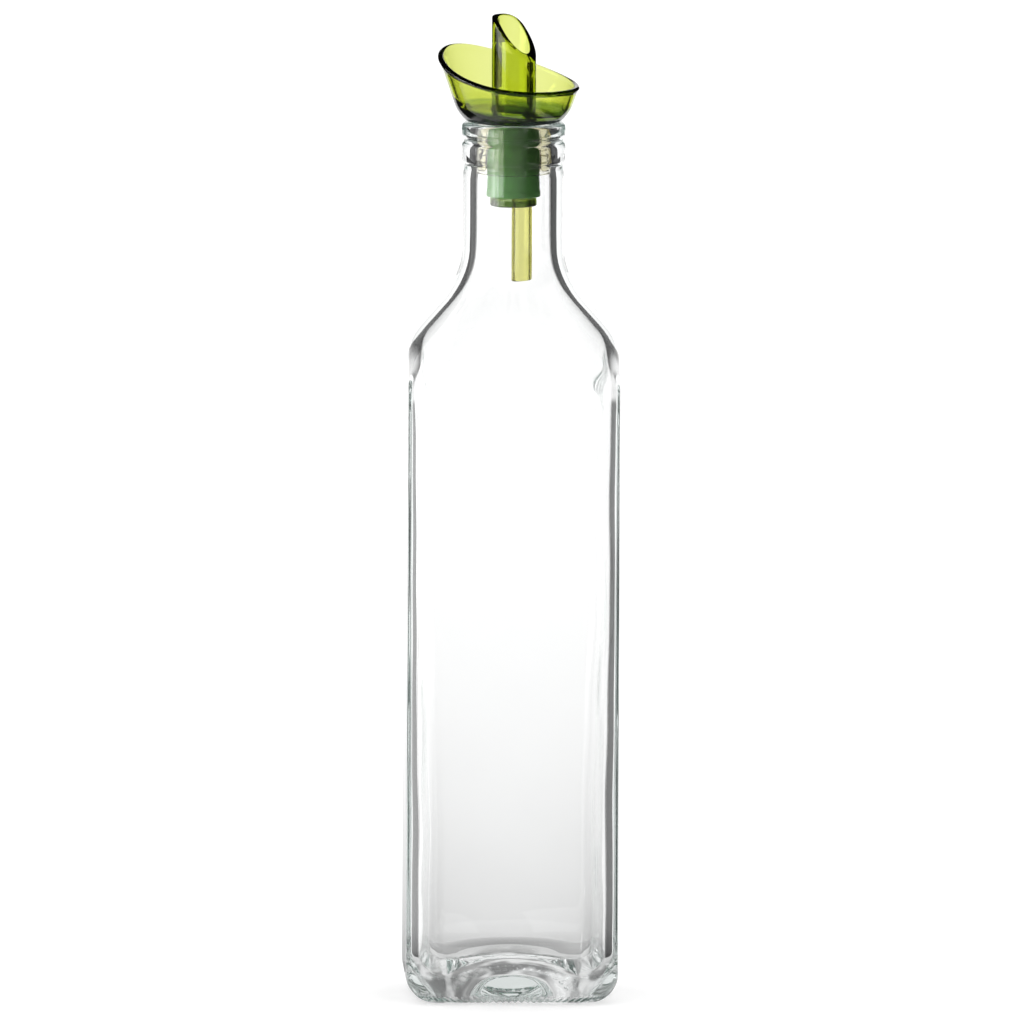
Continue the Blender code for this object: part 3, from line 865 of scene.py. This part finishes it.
def make_camera():
    """An orthographic camera at the photograph's angle, as far off as any other view's."""
    low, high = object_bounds()
    away = (high - low).length / 2 / math.sin(VIEW_HALF_ANGLE) * VIEW_MARGIN
    azimuth, elevation = math.radians(CAMERA_AZIMUTH), math.radians(CAMERA_ELEVATION)
    back = Vector(
        (
            math.sin(azimuth) * math.cos(elevation),
            -math.cos(azimuth) * math.cos(elevation),
            math.sin(elevation),
        )
    )
    data = bpy.data.cameras.new("camera")
    data.type = "ORTHO"
    data.ortho_scale = FRAME_WIDTH
    data.clip_start, data.clip_end = 0.001, 30.0
    camera = bpy.data.objects.new("camera", data)
    bpy.context.scene.collection.objects.link(camera)
    turn = (-back).to_track_quat("-Z", "Y").to_matrix().to_4x4()
    camera.matrix_world = (
        Matrix.Translation(Vector((0, 0, AIM_HEIGHT)) + back * away)
        @ turn
        @ Matrix.Rotation(CAMERA_ROLL, 4, "Z")
    )
    bpy.context.scene.camera = camera
    return camera, away


def card_for_glass(name, corners, finish):
    """A card that only glass and gloss can see."""
    card = plane(name, corners, finish)
    card.visible_camera = False
    card.visible_diffuse = False
    card.visible_shadow = False
    return card


def hang_card(name, corners, finish, camera):
    card_for_glass(name, corners, finish).parent = camera


def lay_foot_shade():
    """A grey card of painted shade under the foot, which shades the base and the heel seen through the
    glass.
    """
    card_for_glass("foot_shade_card", square_on_floor(FOOT_SHADE_REACH, FOOT_SHADE_LIFT), foot_shade_finish())


def beside(across, heights, depths):
    """Corners of an upright card to one side of the bottle, in the camera's space."""
    return [(across, heights[b], -depths[a]) for a, b in CORNERS]


def facing(sides, heights, depth):
    """Corners of an upright card square to the camera."""
    return [(sides[a], heights[b], -depth) for a, b in CORNERS]


def overhead(sides, height, depths):
    """Corners of a level card above the bottle."""
    return [(sides[a], height, -depths[b]) for a, b in CORNERS]


def hang_cards(camera, away):
    """Dark cards round the bottle draw its edges, and a grey one behind it shades its foot."""
    before, behind = away - CARD_BEFORE, away + CARD_BEHIND
    body_cards = (("left", -CARD_SIDE, away, LEFT_GREY), ("right", CARD_SIDE, before, RIGHT_GREY))
    for side, across, near, grey in body_cards:
        name = "dark_card_" + side
        corners = beside(across, (CARD_LOW, CARD_NECK), (near, behind))
        hang_card(name, corners, side_card_finish(name, grey), camera)
    black = card_finish("black_card", BLACK_GREY)
    pourer_cards = (
        ("left", -CARD_SIDE, away, away + LEFT_POURER_BEHIND),
        ("right", CARD_SIDE, before, away + RIGHT_POURER_BEHIND),
    )
    for side, across, near, far in pourer_cards:
        corners = beside(across, (CARD_NECK, CARD_HIGH), (near, far))
        hang_card("pourer_card_" + side, corners, black, camera)
    corners = facing((FRONT_LEFT, FRONT_RIGHT), (-FRONT_TALL, FRONT_TALL), before)
    hang_card("front_card", corners, card_finish("front_card", FRONT_GREY), camera)
    corners = overhead((-TOP_WIDE, TOP_WIDE), TOP_ABOVE, (before, behind))
    hang_card("top_card", corners, black, camera)
    heights = (BACK_LOW - AIM_HEIGHT, BACK_HIGH - AIM_HEIGHT)
    corners = facing((-BACK_WIDE, BACK_WIDE), heights, away + BACK_BEHIND)
    hang_card("back_card", corners, back_card_finish(), camera)


def softbox(name, place, aim, size, power):
    data = bpy.data.lights.new(name, "AREA")
    data.shape = "RECTANGLE"
    data.size, data.size_y = size
    data.energy = power
    lamp = bpy.data.objects.new(name, data)
    bpy.context.scene.collection.objects.link(lamp)
    lamp.location = place
    lamp.rotation_mode = "QUATERNION"
    lamp.rotation_quaternion = (Vector(aim) - Vector(place)).to_track_quat("-Z", "Y")
    lamp.visible_camera = False
    lamp.visible_diffuse = False


def light_studio():
    world = bpy.data.worlds.new("studio")
    bpy.context.scene.world = world
    world.use_nodes = True
    background = world.node_tree.nodes["Background"]
    background.inputs["Color"].default_value = WHITE
    background.inputs["Strength"].default_value = 1.2
    softbox("left_softbox", place=(-0.75, -0.35, 0.3), aim=(0, 0, 0.2), size=(1.0, 1.0), power=8.0)


def set_picture():
    scene = bpy.context.scene
    scene.view_settings.view_transform = "Standard"
    scene.view_settings.look = "None"
    scene.cycles.max_bounces = GLASS_BOUNCES
    scene.cycles.transmission_bounces = GLASS_BOUNCES
    scene.cycles.glossy_bounces = GLASS_BOUNCES
    scene.cycles.diffuse_bounces = 4
    scene.cycles.caustics_refractive = True
    scene.cycles.caustics_reflective = True


def main():
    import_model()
    dress(make_glass(), glass_finish(), "bottle")
    dress(make_pourer(), lime_finish(), "pourer")
    dress(make_plug(), plug_finish(), "plug")
    dress(make_seal(), seal_finish(), "seal_ring")
    dress(make_tube(), tube_finish(), "vent_tube")
    make_floor()
    camera, away = make_camera()
    hang_cards(camera, away)
    lay_foot_shade()
    light_studio()
    set_picture()


main()
